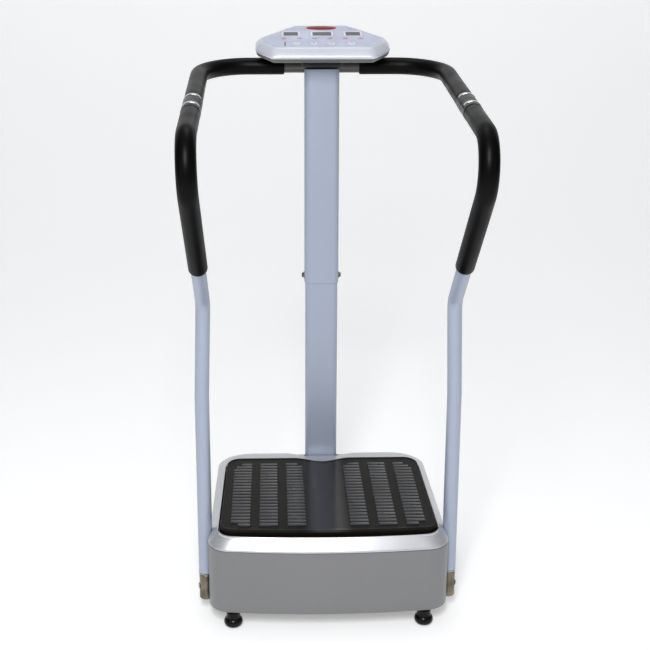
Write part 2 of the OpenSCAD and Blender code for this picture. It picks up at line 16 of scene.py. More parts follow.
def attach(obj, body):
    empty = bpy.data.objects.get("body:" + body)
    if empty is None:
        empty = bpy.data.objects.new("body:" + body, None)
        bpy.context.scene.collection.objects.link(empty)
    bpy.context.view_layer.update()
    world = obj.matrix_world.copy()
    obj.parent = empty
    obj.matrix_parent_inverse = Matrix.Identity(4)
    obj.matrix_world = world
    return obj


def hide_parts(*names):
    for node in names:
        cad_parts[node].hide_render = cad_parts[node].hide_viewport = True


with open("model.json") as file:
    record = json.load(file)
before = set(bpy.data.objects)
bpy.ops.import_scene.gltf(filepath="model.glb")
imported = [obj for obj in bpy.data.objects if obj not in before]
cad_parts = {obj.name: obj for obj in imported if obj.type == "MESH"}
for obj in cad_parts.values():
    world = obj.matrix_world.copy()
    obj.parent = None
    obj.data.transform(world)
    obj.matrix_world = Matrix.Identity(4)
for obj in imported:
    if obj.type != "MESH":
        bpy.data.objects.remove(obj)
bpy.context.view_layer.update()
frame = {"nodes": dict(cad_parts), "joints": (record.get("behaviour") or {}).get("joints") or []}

MM = 0.001
JOINTS = {j["name"]: Vector(j["pos_m"]) for j in frame["joints"] if "pos_m" in j}
CENTRE_Y = JOINTS["platform_rock"].y
RING = 360  # points round a plan outline


def at(x, y, z):
    """A point given in millimetres from the platform's middle line."""
    return Vector((x * MM, y * MM + CENTRE_Y, z * MM))


# ---- materials


def new_material(name, color, roughness, metallic=0.0, coat=0.0, specular=0.5):
    made = bpy.data.materials.new(name)
    made.use_nodes = True
    shader = made.node_tree.nodes["Principled BSDF"]
    for socket, value in (("Base Color", (*color, 1)), ("Roughness", roughness),
                          ("Metallic", metallic), ("Coat Weight", coat),
                          ("Coat Roughness", 0.12), ("Specular IOR Level", specular)):
        shader.inputs[socket].default_value = value
    return made, shader


def noise(made, scale, stretch=(1, 1, 1), detail=3.0):
    """A noise texture in the row frame, stretched along the axes; returns its output."""
    nodes, links = made.node_tree.nodes, made.node_tree.links
    place = nodes.new("ShaderNodeTexCoord")
    mapping = nodes.new("ShaderNodeMapping")
    mapping.inputs["Scale"].default_value = stretch
    texture = nodes.new("ShaderNodeTexNoise")
    texture.inputs["Scale"].default_value = scale
    texture.inputs["Detail"].default_value = detail
    links.new(place.outputs["Object"], mapping.inputs["Vector"])
    links.new(mapping.outputs["Vector"], texture.inputs["Vector"])
    return texture.outputs["Fac"]


def mapped(made, value, given, wanted, kind="LINEAR"):
    """Maps a value from one range to another; returns the output."""
    node = made.node_tree.nodes.new("ShaderNodeMapRange")
    node.interpolation_type = kind
    for side, (low, high) in (("From", given), ("To", wanted)):
        node.inputs[f"{side} Min"].default_value = low
        node.inputs[f"{side} Max"].default_value = high
    made.node_tree.links.new(value, node.inputs["Value"])
    return node.outputs["Result"]


def spread(made, value, low, high):
    """Stretches the middle of a noise value over low to high."""
    return mapped(made, value, (0.3, 0.7), (low, high))


def from_middle(made, space):
    """How far a point lies from the plane X = 0; returns the output."""
    nodes, links = made.node_tree.nodes, made.node_tree.links
    place = nodes.new("ShaderNodeTexCoord")
    split = nodes.new("ShaderNodeSeparateXYZ")
    away = nodes.new("ShaderNodeMath")
    away.operation = "ABSOLUTE"
    links.new(place.outputs[space], split.inputs["Vector"])
    links.new(split.outputs["X"], away.inputs[0])
    return away.outputs["Value"]


def vary_color(made, shader, value, low, high):
    """Colours the surface from low to high by a noise value."""
    mix = made.node_tree.nodes.new("ShaderNodeMix")
    mix.data_type = "RGBA"
    mix.inputs["A"].default_value = (*low, 1)
    mix.inputs["B"].default_value = (*high, 1)
    links = made.node_tree.links
    links.new(spread(made, value, 0, 1), mix.inputs["Factor"])
    links.new(mix.outputs["Result"], shader.inputs["Base Color"])


def vary_roughness(made, shader, value, low, high):
    made.node_tree.links.new(spread(made, value, low, high), shader.inputs["Roughness"])


def bump(made, shader, value, strength, depth):
    node = made.node_tree.nodes.new("ShaderNodeBump")
    node.inputs["Strength"].default_value = strength
    node.inputs["Distance"].default_value = depth
    made.node_tree.links.new(value, node.inputs["Height"])
    made.node_tree.links.new(node.outputs["Normal"], shader.inputs["Normal"])


def shades(color, amount):
    return [c * (1 - amount) for c in color], [min(1, c * (1 + amount)) for c in color]


def painted(name, color, roughness, metallic, coat=0.15, flake=0.07):
    """Metallic paint or moulded silver plastic: fine flakes and a slight orange peel."""
    made, shader = new_material(name, color, roughness, metallic, coat)
    vary_color(made, shader, noise(made, 1500, detail=1), *shades(color, flake))
    vary_roughness(made, shader, noise(made, 7), roughness - 0.04, roughness + 0.05)
    bump(made, shader, noise(made, 260, detail=2), 0.05, 0.0004)
    return made


def moulded(name, color, roughness, grain, specular=0.5):
    """Plain plastic with a fine spark-eroded grain."""
    made, shader = new_material(name, color, roughness, specular=specular)
    vary_color(made, shader, noise(made, 18), *shades(color, 0.10))
    bump(made, shader, noise(made, 1300, detail=2), grain, 0.0003)
    return made


def rubber(name, color, roughness, grain, scale=900, specular=0.3):
    """Rubber or foam: pores in the surface and uneven dullness."""
    made, shader = new_material(name, color, roughness, specular=specular)
    vary_color(made, shader, noise(made, 25), *shades(color, 0.25))
    vary_roughness(made, shader, noise(made, 11), roughness - 0.06, roughness + 0.08)
    bump(made, shader, noise(made, scale, detail=4), grain, 0.0005)
    return made


def metal(name, color, roughness, stretch=(1, 1, 1), scale=300, mottle=0.08):
    """Bare, plated or cast metal; stretch draws the machining marks out."""
    made, shader = new_material(name, color, roughness, metallic=1.0)
    vary_color(made, shader, noise(made, 40), *shades(color, mottle))
    marks = noise(made, scale, stretch, 4)
    vary_roughness(made, shader, marks, roughness - 0.07, roughness + 0.10)
    bump(made, shader, marks, 0.08, 0.0003)
    return made


def mat_material():
    """Black rubber, polished along the middle strip where no ribs stand."""
    made, shader = new_material("mat_black", (0.008, 0.007, 0.006), 0.42, specular=0.10)
    away = from_middle(made, "Object")
    for socket, strip, sides in (("Roughness", 0.24, 0.46), ("Coat Weight", 0.5, 0.0)):
        value = mapped(made, away, (0.020, 0.056), (strip, sides), "SMOOTHSTEP")
        made.node_tree.links.new(value, shader.inputs[socket])
    vary_color(made, shader, noise(made, 30), (0.007, 0.006, 0.005), (0.011, 0.010, 0.008))
    bump(made, shader, noise(made, 120, detail=5), 0.10, 0.0006)
    return made


PAINT = {
    "housing": painted("housing_grey_plastic", (0.23, 0.23, 0.235), 0.40, 0.65, 0.05, 0.10),
    "cover": painted("cover_silver_plastic", (0.60, 0.605, 0.63), 0.36, 0.55, 0.1),
    "post": painted("post_silver_blue_paint", (0.38, 0.425, 0.53), 0.36, 0.10),
    # painted shade: the crossbar wears the post's silver-blue paint, and this dark grey stands in
    # for the shadow under the console
    "bar": painted("crossbar_painted_shade_grey", (0.085, 0.085, 0.08), 0.40, 0.5),
    "console": painted("console_silver_plastic", (0.68, 0.70, 0.77), 0.33, 0.30, 0.25),
    "console_dark": painted("console_grey_plastic", (0.13, 0.127, 0.122), 0.38, 0.2, 0.1),
    "overlay": moulded("overlay_film", (0.55, 0.575, 0.72), 0.30, 0.03),
    "print_white": moulded("print_white", (0.80, 0.80, 0.86), 0.35, 0.02),
    "print_line": moulded("print_violet_grey", (0.36, 0.34, 0.46), 0.4, 0.02),
    "print_red": moulded("print_red", (0.62, 0.10, 0.17), 0.4, 0.02),
    "print_dark": moulded("print_dark", (0.07, 0.07, 0.10), 0.4, 0.02),
    "lamp_grey": moulded("lamp_grey", (0.30, 0.32, 0.42), 0.22, 0.02),
    "window": moulded("window_grey", (0.045, 0.048, 0.060), 0.12, 0.01),
    "digit": moulded("digit_unlit", (0.13, 0.10, 0.11), 0.25, 0.01),
    "badge": moulded("badge_dark_red_enamel", (0.17, 0.016, 0.016), 0.22, 0.02, 0.3),
    "badge_rim": moulded("badge_red_enamel", (0.42, 0.020, 0.028), 0.25, 0.02),
    "key": moulded("key_white_plastic", (0.72, 0.73, 0.80), 0.32, 0.04),
    "deck": moulded("deck_brown_black", (0.010, 0.006, 0.004), 0.40, 0.10, 0.2),
    "black_plastic": moulded("inlet_black_plastic", (0.014, 0.014, 0.015), 0.45, 0.15),
    "switch": moulded("switch_red_plastic", (0.50, 0.02, 0.015), 0.25, 0.03),
    "mat": mat_material(),
    # painted highlight: the ribs are the mat's black rubber, and this lighter grey stands in for
    # light on their tops
    "rib": rubber("mat_rib_painted_highlight_grey", (0.040, 0.040, 0.042), 0.30, 0.06, specular=0.5),
    "foam": rubber("grip_foam", (0.0014, 0.0012, 0.0010), 0.38, 0.16, 1100, 0.10),
    "collar": rubber("collar_plastic", (0.006, 0.006, 0.006), 0.32, 0.08, specular=0.16),
    "foot": rubber("foot_rubber_black", (0.004, 0.004, 0.004), 0.20, 0.05, specular=0.18),
    "tyre": rubber("wheel_rubber_black", (0.010, 0.010, 0.010), 0.5, 0.2),
    "chrome": metal("contact_chrome", (0.74, 0.74, 0.75), 0.16, mottle=0.03),
    "steel": metal("turned_steel", (0.60, 0.61, 0.63), 0.28, (8, 1, 1)),
    "dark_steel": metal("blackened_bolt", (0.13, 0.13, 0.14), 0.38),
    "socket": metal("socket_zinc_plate", (0.20, 0.175, 0.13), 0.34, (1, 1, 0.2), mottle=0.3),
    "zinc": metal("zinc_plate", (0.52, 0.52, 0.50), 0.36, mottle=0.15),
    "frame": painted("frame_black_paint", (0.022, 0.022, 0.024), 0.42, 0.0),
    "cast": metal("cast_iron_grey", (0.16, 0.17, 0.18), 0.55, scale=700),
    "aluminium": metal("turned_aluminium", (0.62, 0.63, 0.65), 0.30, (6, 1, 1)),
    "copper": metal("varnished_copper", (0.50, 0.27, 0.15), 0.40, (1, 6, 6)),
    "board": moulded("board_green", (0.012, 0.085, 0.035), 0.35, 0.05),
    "core": painted("transformer_varnish", (0.09, 0.07, 0.05), 0.45, 0.3),
}

# ---- mesh tools


def add_object(name, data):
    obj = bpy.data.objects.new(name, data)
    bpy.context.scene.collection.objects.link(obj)
    return obj


def add_mesh(name, points, faces):
    mesh = bpy.data.meshes.new(name)
    mesh.from_pydata([tuple(p) for p in points], [], faces)
    return add_object(name, mesh)


def add_bmesh(name, work):
    mesh = bpy.data.meshes.new(name)
    work.to_mesh(mesh)
    work.free()
    return add_object(name, mesh)


def loft(name, rings, closed=False):
    """Skins rings of equal length, and caps the ends or joins them into a torus."""
    count = len(rings[0])
    points = [p for ring in rings for p in ring]
    faces = []
    for k in range(len(rings) if closed else len(rings) - 1):
        a, b = k * count, (k + 1) % len(rings) * count
        for i in range(count):
            j = (i + 1) % count
            faces.append((a + i, a + j, b + j, b + i))
    if not closed:
        faces.append(tuple(range(count))[::-1])
        faces.append(tuple(len(points) - count + i for i in range(count)))
    return add_mesh(name, points, faces)


def tidy_normals(obj):
    work = bmesh.new()
    work.from_mesh(obj.data)
    bmesh.ops.recalc_face_normals(work, faces=work.faces)
    work.to_mesh(obj.data)
    work.free()


def piece(obj, paint, angle=32, node=None, body="machine"):
    """Shades and paints a finished mesh, which rides on body and may stand for a CAD node."""
    tidy_normals(obj)
    obj.data.shade_smooth()
    obj.data.set_sharp_from_angle(angle=radians(angle))
    obj.data.materials.clear()
    obj.data.materials.append(PAINT[paint])
    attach(obj, body)
    if node:
        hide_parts(node)


def cut(obj, *cutters):
    """Takes the cutters out of obj, removes them and returns obj."""
    for cutter in cutters:
        tidy_normals(cutter)
        modifier = obj.modifiers.new("cut", "BOOLEAN")
        modifier.operation = "DIFFERENCE"
        modifier.solver = "EXACT"
        modifier.object = cutter
    tidy_normals(obj)
    view = bpy.context.evaluated_depsgraph_get()
    mesh = bpy.data.meshes.new_from_object(obj.evaluated_get(view))
    obj.modifiers.clear()
    obj.data = mesh
    for cutter in cutters:
        bpy.data.objects.remove(cutter)
    return obj


def join(name, parts):
    """One object from several meshes."""
    work = bmesh.new()
    for part in parts:
        part.data.transform(part.matrix_world)
        work.from_mesh(part.data)
        bpy.data.objects.remove(part)
    return add_bmesh(name, work)


def rounded_box(name, low, high, edge, segments):
    """A box with rounded edges, from corner to corner."""
    lo, hi = Vector(low), Vector(high)
    work = bmesh.new()
    bmesh.ops.create_cube(work, size=1)
    for v in work.verts:
        v.co = Vector((lo[i] + (v.co[i] + 0.5) * (hi[i] - lo[i]) for i in range(3)))
    bmesh.ops.bevel(work, geom=work.edges[:], offset=edge, segments=segments, profile=0.5,
                    affect="EDGES")
    return add_bmesh(name, work)


def box_mm(name, x, y, z, edge, segments=2):
    """A rounded box from millimetre ranges, in at()'s frame."""
    return rounded_box(name, at(x[0], y[0], z[0]), at(x[1], y[1], z[1]), edge * MM, segments)


def placed_box(name, place, x, y, z, edge):
    """A rounded box from millimetre ranges, in the local frame of place."""
    low, high = (Vector(corner) * MM for corner in zip(x, y, z))
    obj = rounded_box(name, low, high, edge * MM, 1)
    obj.data.transform(place)
    return obj


def spanned(middle, half):
    """The range that reaches half to each side of middle."""
    return middle - half, middle + half


def mm(x, y, z):
    """A vector in metres from one in millimetres."""
    return Vector((x * MM, y * MM, z * MM))


def circle(count):
    """Cosine and sine at even angles."""
    return [(cos(a), sin(a)) for a in (2 * pi * i / count for i in range(count))]


def revolve(name, profile, place, segments, closed=False):
    """Turns (radius, height) points round the local Z axis of place, in millimetres."""
    rings = [[place @ Vector((radius * MM * c, radius * MM * s, height * MM))
              for c, s in circle(segments)] for radius, height in profile]
    return loft(name, rings, closed)


def facing(origin, axis):
    """A matrix at origin whose Z runs along axis."""
    turn = Vector((0, 0, 1)).rotation_difference(Vector(axis).normalized())
    return Matrix.Translation(origin) @ turn.to_matrix().to_4x4()


def sideways(x, y, z, sign=1):
    """facing() for a point in millimetres and the X axis."""
    return facing(at(x, y, z), (sign, 0, 0))


def dome(radius, height, edge):
    """A flat cap's profile with a rounded rim."""
    arc = [(radius - edge + edge * cos(a), height - edge + edge * sin(a))
           for a in (pi / 8 * i for i in range(5))]
    return [(radius, 0)] + arc + [(radius * 0.5, height + 0.05)]


def screw(origin, axis, radius, height):
    """A cross-headed pan screw."""
    place = facing(origin, axis)
    head = revolve("screw", dome(radius, height, 1.4), place, 32)
    slots = [placed_box("slot", place @ Matrix.Rotation(turn, 4, "Z"), spanned(0, 0.6 * radius),
                        spanned(0, 0.45), (height - 1.2, height + 1), 0.1)
             for turn in (0, pi / 2)]
    return cut(head, *slots)


def hex_bolt(place):
    """A chamfered hexagon head on a washer, which is seated at place."""
    washer = revolve("washer", [(4, 0), (8.6, 0), (9, 0.4), (9, 1.1), (8.6, 1.5), (4, 1.5)],
                     place, 40)
    head = revolve("head", [(6.2, 1.5), (6.2, 5.6), (5.332, 6.5), (2.48, 6.7)], place, 6)
    return join("hex_bolt", [washer, head])


def frames_along(path):
    """A pair of unit vectors across the path at each point, without twist."""
    tangents = [(path[min(i + 1, len(path) - 1)] - path[max(i - 1, 0)]).normalized()
                for i in range(len(path))]
    side = tangents[0].orthogonal().normalized()
    pairs = []
    for i, tangent in enumerate(tangents):
        if i:
            side = tangents[i - 1].rotation_difference(tangent) @ side
        side = (side - tangent * side.dot(tangent)).normalized()
        pairs.append((side, tangent.cross(side)))
    return pairs


def ring_round(centre, pair, radius, segments):
    return [centre + (pair[0] * c + pair[1] * s) * radius for c, s in circle(segments)]


def pipe(name, path, radii, inner, segments):
    """A hollow tube along path, with an outer radius for each point, in millimetres."""
    pairs = frames_along(path)
    outer = [ring_round(p, q, r * MM, segments) for p, q, r in zip(path, pairs, radii)]
    bore = [ring_round(p, q, inner * MM, segments) for p, q in zip(path, pairs)]
    return loft(name, outer + bore[::-1], closed=True)


def filleted(corners, bends):
    """A path through corners, rounded by bend radii in millimetres in steps of 4 degrees."""
    path = [corners[0]]
    for a, b, c, bend in zip(corners, corners[1:], corners[2:], bends):
        to_a, to_c = (a - b).normalized(), (c - b).normalized()
        turn = pi - to_a.angle(to_c)
        cut_back = bend * MM * tan(turn / 2)
        centre = b + (to_a + to_c).normalized() * bend * MM / cos(turn / 2)
        start = b + to_a * cut_back - centre
        axis = start.cross(b + to_c * cut_back - centre).normalized()
        steps = max(3, round(degrees(turn) / 4))
        for i in range(steps + 1):
            path.append(centre + Matrix.Rotation(turn * i / steps, 3, axis) @ start)
    path.append(corners[-1])
    return path


def subdivided(path, longest=0.02):
    """path with no step over longest."""
    fine = [path[0]]
    for a, b in zip(path, path[1:]):
        count = max(1, ceil((b - a).length / longest))
        fine += [a.lerp(b, i / count) for i in range(1, count + 1)]
    return fine


def sided(sign, near, far):
    """A range of X on the side that sign gives."""
    return sorted((near * sign, far * sign))


# ---- outlines


def hull_outline(circles):
    """Counter-clockwise outline round (centre x, centre y, radius) circles."""
    points = []
    for c, s in circle(720):
        x, y, r = max(circles, key=lambda o: o[0] * c + o[1] * s + o[2])
        points.append((x + r * c, y + r * s))
    return points


def radial(outline, centre=(0, 0), count=RING):
    """Points of a star-shaped outline at even angles round a centre."""
    points = np.array(outline) - centre
    angles = np.arctan2(points[:, 1], points[:, 0]) % (2 * pi)
    order = np.argsort(angles, kind="stable")
    points, angles = points[order], angles[order]
    points = np.vstack([points[-1], points, points[0]])
    angles = np.concatenate([[angles[-1] - 2 * pi], angles, [angles[0] + 2 * pi]])
    ring = []
    for i in range(count):
        a = 2 * pi * i / count
        k = int(np.searchsorted(angles, a, side="right")) - 1
        p, q = points[k], points[k + 1]
        d = np.array([cos(a), sin(a)])
        step = q - p
        across = step[0] * d[1] - step[1] * d[0]
        t = 0 if abs(across) < 1e-9 else -(p[0] * d[1] - p[1] * d[0]) / across
        ring.append(tuple(p + step * min(max(t, 0), 1) + centre))
    return ring


def four_corners(front, half_front, r_front, rear, half_rear, r_rear):
    """The corner circles of a plan that is symmetric in X."""
    return [corner for side in (-1, 1) for corner in (
        (side * (half_front - r_front), r_front - front, r_front),
        (side * (half_rear - r_rear), rear - r_rear, r_rear))]


def bowed(half, front, rise):
    """Points of the bowed front edge, as circles of no radius."""
    return [(half * t, -front + rise * t * t, 0) for t in (-1 + i / 32 for i in range(65))]


BASE = {"front": 236, "half_front": 270, "r_front": 50, "bow": 12,
        "rear": 265, "half_rear": 263, "r_rear": 75}
DECK = {"front": 204, "half_front": 243, "r_front": 25, "bow": 8,
        "rear": 166, "half_rear": 238, "r_rear": 34}
NOTCH_HALF = 72
NOTCH_DEPTH = 20


def base_ring(inset, rear=BASE["rear"]):
    """The housing's plan, drawn in by inset."""
    circles = four_corners(BASE["front"] - BASE["bow"] - inset, BASE["half_front"] - inset,
                           BASE["r_front"] - inset / 2, rear, BASE["half_rear"] - inset,
                           BASE["r_rear"] - inset / 2)
    return radial(hull_outline(circles + bowed(200, BASE["front"] - inset, BASE["bow"] * 0.83)))


def deck_ring(gap, lead=0):
    """The platform's plan, grown by gap, with a soft notch in front of the post."""
    front, rear = DECK["front"] + gap + lead, DECK["rear"] + gap
    circles = four_corners(front - DECK["bow"], DECK["half_front"] + gap, DECK["r_front"] + gap,
                           rear, DECK["half_rear"] + gap, DECK["r_rear"] + gap)
    outline = hull_outline(circles + bowed(205, front, DECK["bow"] * 0.9))
    notch = [(NOTCH_HALF * t, rear - NOTCH_DEPTH * (0.5 + 0.5 * cos(pi * t)))
             for t in (1 - i / 24 for i in range(49))]
    cut_at = max(i for i, p in enumerate(outline) if p[1] > rear - 1 and p[0] > NOTCH_HALF) + 1
    rest = [p for p in outline[cut_at:] if p[0] < -NOTCH_HALF or p[1] < 0]
    return radial(outline[:cut_at] + notch + rest)


def rounded_rectangle(cx, cy, width, depth, radius, steps):
    """A counter-clockwise outline with round corners."""
    points = []
    for k, (sx, sy) in enumerate(((1, 1), (-1, 1), (-1, -1), (1, -1))):
        for i in range(steps + 1):
            a = pi / 2 * (k + i / steps)
            points.append((cx + sx * (width / 2 - radius) + radius * cos(a),
                           cy + sy * (depth / 2 - radius) + radius * sin(a)))
    return points


def lift(ring, z):
    """An outline in millimetres, at height z in the row frame."""
    return [at(x, y, z) for x, y in ring]


def between(ring_a, ring_b, t):
    """The ring at share t of the way from ring_a to ring_b."""
    return [(a[0] + (b[0] - a[0]) * t, a[1] + (b[1] - a[1]) * t) for a, b in zip(ring_a, ring_b)]


# ---- rails

BAR_Y = 300
BAR_Z = 1197
BAR_HALF = 90
BAR_TONGUE = 45
RAIL_R = 16
RAIL_WALL = 2
GRIP_R = 20.2
CORNER_BEND = 115
BULGE_BEND = 72
KNEE_BEND = 60
SHIN_BEND = 150
BAR_END = at(BAR_HALF, BAR_Y, BAR_Z)
CORNER = at(291, BAR_Y, BAR_Z)
BULGE = at(280, -473, 1122)
KNEE = at(272.5, -122, 733)
SHIN = at(279.5, -126, 520)
RAIL_END = at(278.5, -146, 98)
SENSOR_REAR = CORNER.lerp(BULGE, 0.4916)
SENSOR_FRONT = CORNER.lerp(BULGE, 0.634)
GRIP_LOW = BULGE.lerp(KNEE, 0.735)
FOAM_END = (0, 0.3, 1, 2, 3.2, 5)
COLLAR_R = GRIP_R + 0.5
CONTACTS = ((0.07, 0.18), (0.73, 0.84))  # shares of the collar's length
CONTACT_HALF = 56  # degrees


def side_path(points, sign):
    """Points of the right rail, mirrored for the left where sign is -1."""
    return [Vector((p.x * sign, p.y, p.z)) for p in points]


def foam_radii(path):
    """Full radius along the foam, rounded over its last few millimetres."""
    total = [0.0]
    for a, b in zip(path, path[1:]):
        total.append(total[-1] + (b - a).length)
    thin = RAIL_R + 0.6
    shares = (min(min(s, total[-1] - s) / MM / FOAM_END[-1], 1) for s in total)
    return [thin + (GRIP_R - thin) * sqrt(1 - (1 - share) ** 2) for share in shares]


def with_rounded_ends(path):
    """Adds close points at both ends, where the foam rounds over."""
    head, tail = ([a.lerp(b, min(1, t * MM / (b - a).length)) for t in FOAM_END]
                  for a, b in ((path[0], path[1]), (path[-1], path[-2])))
    return head + path[1:-1] + tail[::-1]


def build_handrail(hand, sign):
    """One bent tube from the crossbar to the foot."""
    path = subdivided(filleted(
        side_path([BAR_END, CORNER, BULGE, KNEE, SHIN, RAIL_END], sign),
        [CORNER_BEND, BULGE_BEND, KNEE_BEND, SHIN_BEND]), 0.05)
    tube = pipe(f"{hand}_rail_tube", path, [RAIL_R] * len(path), RAIL_R - RAIL_WALL, 56)
    piece(tube, "post", node=f"{hand}_handrail")


def build_grips(hand, sign):
    """The two foam sleeves, behind and in front of the sensor collar."""
    for where, points, bend in (("rear", (BAR_END, CORNER, SENSOR_REAR), CORNER_BEND),
                                ("front", (SENSOR_FRONT, BULGE, GRIP_LOW), BULGE_BEND)):
        path = with_rounded_ends(subdivided(filleted(side_path(points, sign), [bend])))
        foam = pipe(f"{hand}_{where}_foam_grip", path, foam_radii(path), RAIL_R, 64)
        piece(foam, "foam", node=f"{hand}_{where}_grip")


def build_collar(hand, sign):
    """The plastic collar between the foams, with a middle groove and two contact plates."""
    a, b = side_path([SENSOR_REAR, SENSOR_FRONT], sign)
    length, rim = (b - a).length / MM, COLLAR_R
    half = length / 2
    profile = [(RAIL_R, 0), (rim - 1.2, 0), (rim, 1.2), (rim, half - 1.5), (rim - 1, half - 1),
               (rim - 1, half + 1), (rim, half + 1.5), (rim, length - 1.2), (rim - 1.2, length),
               (RAIL_R, length)]
    piece(revolve(f"{hand}_collar", profile, facing(a, b - a), 64, closed=True),
          "collar", node=f"{hand}_sensor_collar")
    up, axis = Vector((0, 0, 1)), (b - a).normalized()
    top = (up - axis * up.dot(axis)).normalized()
    across = axis.cross(top)
    for k, (t0, t1) in enumerate(CONTACTS):
        rings = []
        for t, shrink in ((t0, 1.1), (t0 + 0.012, 0.4), (t0 + 0.03, 0), (t1 - 0.03, 0),
                          (t1 - 0.012, 0.4), (t1, 1.1)):
            centre = a.lerp(b, t)
            outer, inner = [], []
            for i in range(25):
                angle = radians(CONTACT_HALF * (i / 12 - 1))
                side = cos(angle) * top + sin(angle) * across
                edge = 0.7 if i in (0, 24) else 0.2 if i in (1, 23) else 0
                outer.append(centre + side * (rim + 1.2 - shrink - edge) * MM)
                inner.append(centre + side * (rim - 0.2) * MM)
            rings.append(outer + inner[::-1])
        piece(loft(f"{hand}_contact_{k + 1}", rings), "chrome",
              node="pulse_contacts")


def build_crossbar():
    """The bare tube in the middle, with narrower tongues that slide into the rails."""
    right = (BAR_HALF / 2, BAR_HALF, BAR_HALF + 0.1, BAR_HALF + BAR_TONGUE)
    path = [at(x, BAR_Y, BAR_Z) for x in (*(-x for x in right[::-1]), 0, *right)]
    narrow = RAIL_R - RAIL_WALL - 0.05
    radii = [narrow] * 2 + [RAIL_R] * 5 + [narrow] * 2
    # painted shade: the dark grey bar paint stands in for the console's shadow on the silver
    # crossbar
    piece(pipe("cross_tube", path, radii, narrow - RAIL_WALL, 56), "bar",
          node="crossbar")


SOCKET_TOP = RAIL_END.lerp(SHIN, -0.004)
SOCKET_FOOT = RAIL_END.lerp(SHIN, -0.155)
SOCKET_BOLT = (-149, 62)


def build_sockets():
    """The plated stubs under the rails, their clamp rings, welded lugs and bolts."""
    sockets, bolts, rings = [], [], []
    for sign in (-1, 1):
        foot, top = side_path([SOCKET_FOOT, SOCKET_TOP], sign)
        length = (top - foot).length / MM
        place = facing(foot, top - foot)
        sockets.append(revolve("stub", [
            (11, 0.3), (12.6, 0), (14.4, 0.3), (15.4, 1.6), (15.4, length - 5),
            (15.0, length - 4.4), (15.4, length - 3.8), (15.4, length - 0.2), (13.8, length),
            (11, length)], place, 48))
        sockets.append(box_mm("lug", sided(sign, 226, 272), (-158, -140), (50, 90), 1.5))
        rings.append(revolve("ring", [
            (14, length - 1.6), (15.9, length - 1.6), (16.3, length - 1.1), (16.3, length + 0.2),
            (14, length + 0.2)], place, 48, closed=True))
        head, shank = (sideways(x * sign, *SOCKET_BOLT, sign) for x in (294, 236))
        bolts.append(revolve("bolt", dome(6.5, 2, 1.5), head, 32))
        bolts.append(revolve("bolt_shank", [(4.2, 0), (4.2, 57)], shank, 24))
    piece(join("socket_stubs", sockets), "socket", node="rail_sockets")
    piece(join("socket_rings", rings), "steel")
    piece(join("socket_bolts", bolts), "steel", node="rail_bolts")


# ---- housing

WALL = 3
CHANNEL_R = 18.5


def rail_cutters(radius):
    """Rods that clear the rails' feet, one for each side."""
    rods = []
    for sign in (-1, 1):
        low, foot, top = side_path([RAIL_END.lerp(SHIN, -0.17), RAIL_END, SHIN], sign)
        rods.append(revolve("channel", [(radius, 0), (radius, 235)], facing(low, top - foot), 48))
    return rods


def build_housing():
    """The grey lower shell, with channels for the rails and openings at the back."""
    rows = [(3.0, 37.5), (1.2, 37.7), (0.3, 38.4), (0, 39.6), (0, 80), (0, 140), (0, 186),
            (0.1, 188.6), (0.5, 189.4), (1.2, 189.8), (3, 190)]
    body = loft("housing_shell", [lift(base_ring(i), z) for i, z in rows])
    hollow = loft("hollow", [lift(base_ring(WALL, BASE["rear"] - WALL), z) for z in (36, 191)])
    cut(hollow, *rail_cutters(CHANNEL_R + WALL))
    openings = [box_mm("opening", (112, 188), (250, 275), (86, 134), 2)]
    for sign in (-1, 1):
        openings.append(box_mm("lug_slot", sided(sign, 240, 275), (-164, -132), (46, 94), 3))
        openings.append(box_mm("wheel_slot", sided(sign, 150, 180), (225, 275), (30, 64), 3))
    cut(body, hollow)
    cut(body, *rail_cutters(CHANNEL_R), *openings)
    piece(body, "housing", 28, node="lower_housing")


def outermost(ring_a, ring_b):
    """Whichever ring lies further out at each angle."""
    return [max(a, b, key=lambda p: hypot(*p)) for a, b in zip(ring_a, ring_b)]


def eased(value, start, length):
    """A smooth step from 0 to 1 that begins at start."""
    t = min(max((value - start) / length, 0), 1)
    return t * t * (3 - 2 * t)


def post_dip(point):
    """Lowers the cover's rim softly towards the post."""
    x, y = abs(point.x) / MM, (point.y - CENTRE_Y) / MM
    return point - Vector((0, 0, 5.0 * eased(-x, -92, 44) * eased(y, 152, 30) * MM))


def build_cover():
    """The silver upper shell: a sloping rim, a narrow flat top and a turned-down lip."""
    outer, top, hole, lip = base_ring(0), base_ring(20, 214), deck_ring(4.5, 6), deck_ring(6, 6)
    rows = [(base_ring(i), z) for i, z in ((1.6, 190.1), (0.6, 190.4), (0.1, 191.2), (0, 192.2))]
    rows += [(between(outer, top, t), 193 + 24.6 * t + 0.9 * sin(pi * t))
             for t in (0.03, 0.08, 0.2, 0.4, 0.6, 0.8, 0.92, 0.98, 1)]
    rows += [(between(top, hole, t), 218) for t in (0.2, 0.5, 0.8)]
    rows += [(between(top, hole, 0.97), 217.9), (hole, 217.2), (hole, 203), (lip, 203),
             (lip, 212), (outermost(base_ring(24, 209), deck_ring(6.4, 6)), 213),
             (base_ring(WALL, BASE["rear"] - WALL), 190.1)]
    body = loft("cover_shell", [[post_dip(p) for p in lift(ring, z)] for ring, z in rows],
                closed=True)
    cut(body, *rail_cutters(CHANNEL_R), box_mm("post_hole", (-44, 44), (209, 262), (186, 232), 1))
    piece(body, "cover", 30, node="top_cover")


